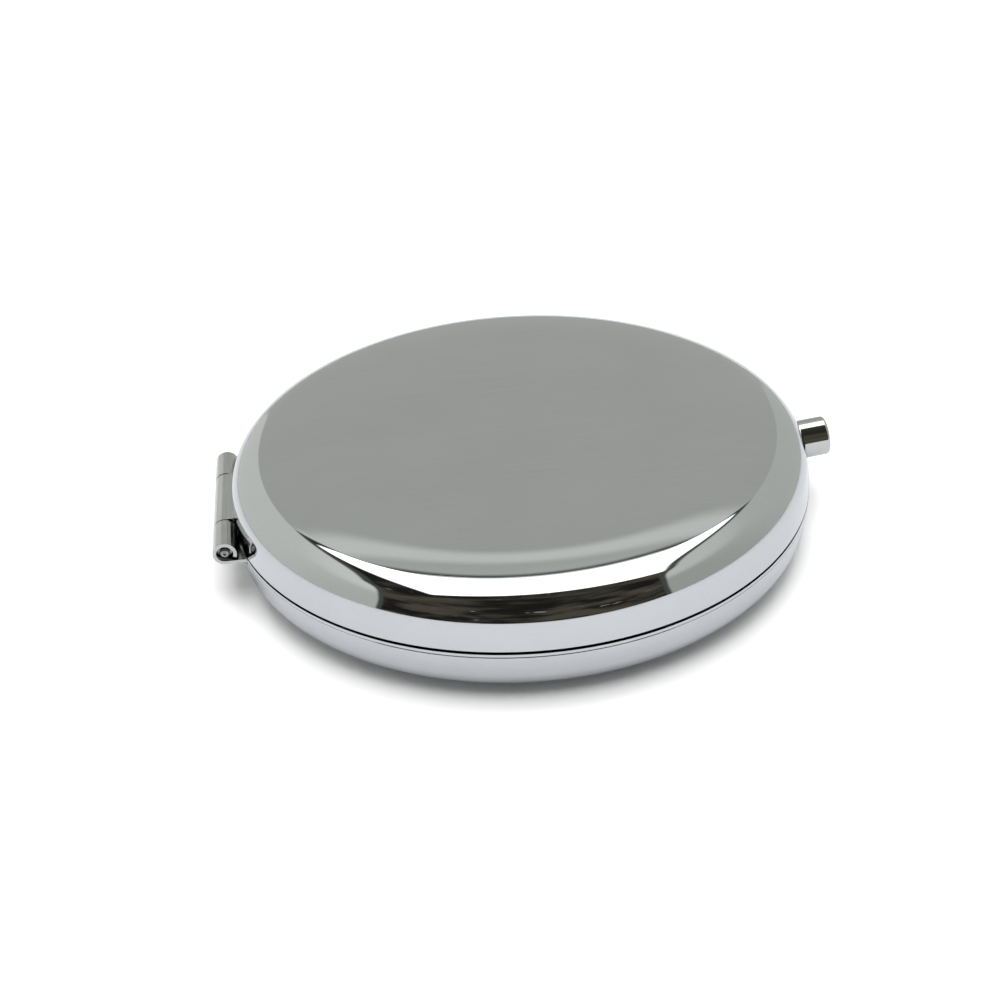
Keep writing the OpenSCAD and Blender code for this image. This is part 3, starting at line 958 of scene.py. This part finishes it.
def pill_tray():
    """Moulded cup with filleted dividers: one half cell and two quarters."""
    low, high = box_mm("pill_tray")
    z0 = low.z
    floor_z = z0 + TRAY_FLOOR
    top = high.z
    inner = TRAY_R - TRAY_WALL
    lip = 0.2
    foot = 0.15
    foot_z = z0 + 0.6
    divider_top = top - 0.5
    corner = arc((inner - TRAY_CORNER, floor_z + TRAY_CORNER), TRAY_CORNER, -90, 0, 12)
    rim = arc((inner + lip, top - lip), lip, 180, 90, 5)
    rim += arc((TRAY_R - lip, top - lip), lip, 90, 0, 5)
    cup = [(0, floor_z), (inner - TRAY_CORNER - 4, floor_z)] + corner + rim
    cup += [(TRAY_R, foot_z + 0.05), (TRAY_R - foot, foot_z), (TRAY_R - foot, z0 + foot)]
    cup += [(TRAY_R - 2 * foot, z0), (0, z0)]
    piece = outward(lathe("pill_tray_moulding", cup, closed=False))
    half = TRAY_WALL / 2
    fillet = 0.8
    right = arc((half + fillet, floor_z + fillet), fillet, -90, -180, 8)
    crest = arc((0, divider_top - half), half, 0, 180, 12)
    left = [(-x, z) for x, z in right[::-1]]
    sunk = floor_z - 0.1
    wall = [(half + fillet, sunk)] + right + crest + left + [(-half - fillet, sunk)]
    reach = inner + 0.3
    across = outward(prism("divider", wall, -reach, reach))
    along = outward(prism("divider", wall, 0, reach))
    along.data.transform(Matrix.Rotation(math.radians(90), 4, "Z"))
    combine(piece, [across, along], "UNION")
    smooth(piece, 30)
    finished(piece, "pill_tray", "tray_plastic", "base")


# ---------- stage ----------


def floor():
    """Wide pale floor."""
    reach = 3000
    corners = [(-reach, -reach, 0), (reach, -reach, 0), (reach, reach, 0), (-reach, reach, 0)]
    piece = new_piece("floor", corners, [[0, 1, 2, 3]])
    material, nodes, shader, where = new_material("floor_paper")
    grain = nodes.noise(where, 800, 3)
    colour = nodes.mix(grain, (0.87, 0.88, 0.92, 1), (0.89, 0.9, 0.94, 1))
    # Paper overexposed where the camera sees it directly
    seen = nodes.add("ShaderNodeLightPath").outputs["Is Camera Ray"]
    colour = nodes.mix(seen, colour, (1.2, 1.2, 1.2, 1))
    nodes.link(colour, shader.inputs["Base Color"])
    shader.inputs["Roughness"].default_value = 0.9
    shader.inputs["Specular IOR Level"].default_value = 0.1
    piece.data.materials.append(material)


def fill_lamp():
    """Soft overhead lamp that lights the floor without showing in the chrome."""
    where = Vector((0, -110, 400))
    data = bpy.data.lights.new("fill", "AREA")
    data.shape = "SQUARE"
    data.size = 0.3
    data.energy = 1.16
    item = bpy.data.objects.new("fill", data)
    bpy.context.scene.collection.objects.link(item)
    item.matrix_world = place(where * MM, where)
    item.visible_camera = False
    item.visible_glossy = False


def lobe(nodes, parts, shape, margin=0.0):
    """How much a direction points at a rounded wall panel: 1 on it, 0 off it.

    shape holds the panel's azimuth, half width and height in degrees, and how square it is.
    """
    centre, width, peak, power = shape
    soft = 0.03
    x, y, z = parts
    c = math.cos(math.radians(centre))
    s = math.sin(math.radians(centre))
    ahead = nodes.math("ADD", nodes.math("MULTIPLY", x, c), nodes.math("MULTIPLY", y, s))
    aside = nodes.math("SUBTRACT", nodes.math("MULTIPLY", y, c), nodes.math("MULTIPLY", x, s))
    azimuth = nodes.math("ABSOLUTE", nodes.math("ARCTAN2", aside, ahead))
    height = nodes.math("MAXIMUM", nodes.math("ARCSINE", z), 0.0)
    across = nodes.math("POWER", nodes.math("DIVIDE", azimuth, math.radians(width)), power)
    up = nodes.math("POWER", nodes.math("DIVIDE", height, math.radians(peak)), power)
    return nodes.remap(nodes.math("ADD", across, up), 1 + margin - soft, 1 + margin + soft, 1, 0)


def soft_box(nodes, parts):
    """How much a direction points at the overhead soft box, which widens towards the back."""
    x, y, z = parts
    rise = nodes.math("MAXIMUM", z, 0.05)
    over_x = nodes.math("DIVIDE", x, rise)
    over_y = nodes.math("DIVIDE", y, rise)
    past_left = nodes.math("ADD", over_x, nodes.math("MULTIPLY", over_y, 0.16))
    past_right = nodes.math("SUBTRACT", over_x, nodes.math("MULTIPLY", over_y, 0.1))
    # Left, right, front and back edges, as slopes away from straight up
    edges = [
        nodes.remap(past_left, -0.31, -0.28),
        nodes.remap(past_right, 0.52, 0.55, 1, 0),
        nodes.remap(over_y, 0.06, 0.09),
        nodes.remap(over_y, 0.84, 0.87, 1, 0),
    ]
    panel = nodes.math("GREATER_THAN", z, 0.1)
    for edge in edges:
        panel = nodes.math("MULTIPLY", panel, edge)
    return panel


def studio():
    """A small light tent: one overhead soft box, three pale walls, and a dark room beyond."""
    world = bpy.data.worlds.new("studio")
    world.use_nodes = True
    bpy.context.scene.world = world
    nodes = Nodes(world.node_tree)
    direction = nodes.add("ShaderNodeTexCoord").outputs["Generated"]
    split = nodes.add("ShaderNodeSeparateXYZ", {0: direction})
    parts = [split.outputs[k] for k in range(3)]
    y, z = parts[1:]
    clutter = nodes.remap(nodes.noise(direction, 3, 4, 0.55), 0.4, 0.65)
    glints = nodes.remap(nodes.noise(direction, 8, 2), 0.68, 0.74)
    room = nodes.mix(clutter, (0.018, 0.017, 0.016, 1), (0.1, 0.092, 0.068, 1))
    room = nodes.mix(glints, room, (0.36, 0.36, 0.35, 1))
    colour = nodes.mix(soft_box(nodes, parts), room, (2.9, 2.9, 2.95, 1))
    # Each wall's shape, the width of its outline, and its tones at the front, back and top
    back_wall = (
        (86, 48, 53.0, 2.0), 0.06,
        (0.525, 0.54, 0.515, 1), (0.525, 0.54, 0.515, 1), (0.6, 0.62, 0.59, 1),
    )
    left_wall = (
        (158, 52, 58.5, 2.5), 0.1,
        (0.64, 0.66, 0.63, 1), (0.77, 0.79, 0.76, 1), (0.87, 0.89, 0.86, 1),
    )
    right_wall = (
        (10, 53, 61.0, 2.5), 0.1,
        (0.5, 0.52, 0.49, 1), (0.62, 0.645, 0.615, 1), (0.76, 0.78, 0.75, 1),
    )
    walls = [back_wall, left_wall, right_wall]
    for shape, margin, *_ in walls:
        colour = nodes.mix(lobe(nodes, parts, shape, margin), colour, (0.09, 0.095, 0.085, 1))
    for wall in walls:
        shape, _, front, back, top = wall
        tone = nodes.mix(nodes.remap(y, -0.4, 0.5), front, back)
        tone = nodes.mix(nodes.remap(z, 0.66, 0.82), tone, top)
        if wall is back_wall:
            above = nodes.remap(z, 0.64, 0.69)
            below = nodes.remap(z, 0.71, 0.75, 1, 0)
            stripe = nodes.math("MULTIPLY", above, below)
            tone = nodes.mix(stripe, tone, (0.81, 0.83, 0.8, 1))
        colour = nodes.mix(lobe(nodes, parts, shape), colour, tone)
    seen = nodes.add("ShaderNodeLightPath").outputs["Is Camera Ray"]
    colour = nodes.mix(seen, colour, (1, 1, 1, 1))
    background = world.node_tree.nodes["Background"]
    nodes.link(colour, background.inputs["Color"])


def camera():
    """Camera at the photograph's angle, looking near the middle of the shut box."""
    azimuth = math.radians(-4.797)
    elevation = math.radians(32.665)
    roll = math.radians(3.662)
    distance = 173.168
    target = Vector((-2.584, -5.629, SEAM_Z + 1))
    forward = Vector(
        (
            math.sin(-azimuth) * math.cos(elevation),
            math.cos(-azimuth) * math.cos(elevation),
            -math.sin(elevation),
        )
    )
    right = forward.cross(Vector((0, 0, 1))).normalized()
    down = forward.cross(right)
    across = right * math.cos(roll) + down * math.sin(roll)
    below = down * math.cos(roll) - right * math.sin(roll)
    data = bpy.data.cameras.new("camera")
    data.lens = 61.18
    data.sensor_width = 36
    data.clip_start = 0.01
    data.clip_end = 20
    item = bpy.data.objects.new("camera", data)
    bpy.context.scene.collection.objects.link(item)
    axes = Matrix((across, -below, -forward)).transposed().to_4x4()
    item.matrix_world = Matrix.Translation((target - forward * distance) * MM) @ axes
    bpy.context.scene.camera = item
    bpy.context.scene.view_settings.view_transform = "Standard"


camera()
studio()
floor()
fill_lamp()
base_shell()
lid_shell()
base_frame()
lid_frame()
hinge_leaf_base()
hinge_leaf_lid()
hinge_pin()
rivets("hinge_rivets_base", HINGE_RIVETS, HINGE.z - HINGE_R, FLANGE_TOP, "base")
rivets("hinge_rivets_lid", HINGE_RIVETS, LID_PLATE_Z - LEAF_T, LID_PLATE_Z + LID_PLATE_T, "lid")
rivets("catch_rivets", CATCH_RIVETS, FLANGE_UNDER - LATCH_SHEET_T, FLANGE_TOP, "base")
latch_low = LID_PLATE_Z - LATCH_SHEET_T
rivets("latch_rivets", LATCH_RIVETS, latch_low, LID_PLATE_Z + LID_PLATE_T, "lid")
softened("catch_plate", "latch_steel", "base")
softened("latch_bracket", "latch_steel", "lid")
softened("latch_slide", "latch_steel", "push_button")
button()
button_stem()
button_spring()
mirror_glass()
foam_disc("mirror_pad", "lid")
foam_disc("tray_pad", "base")
pill_tray()
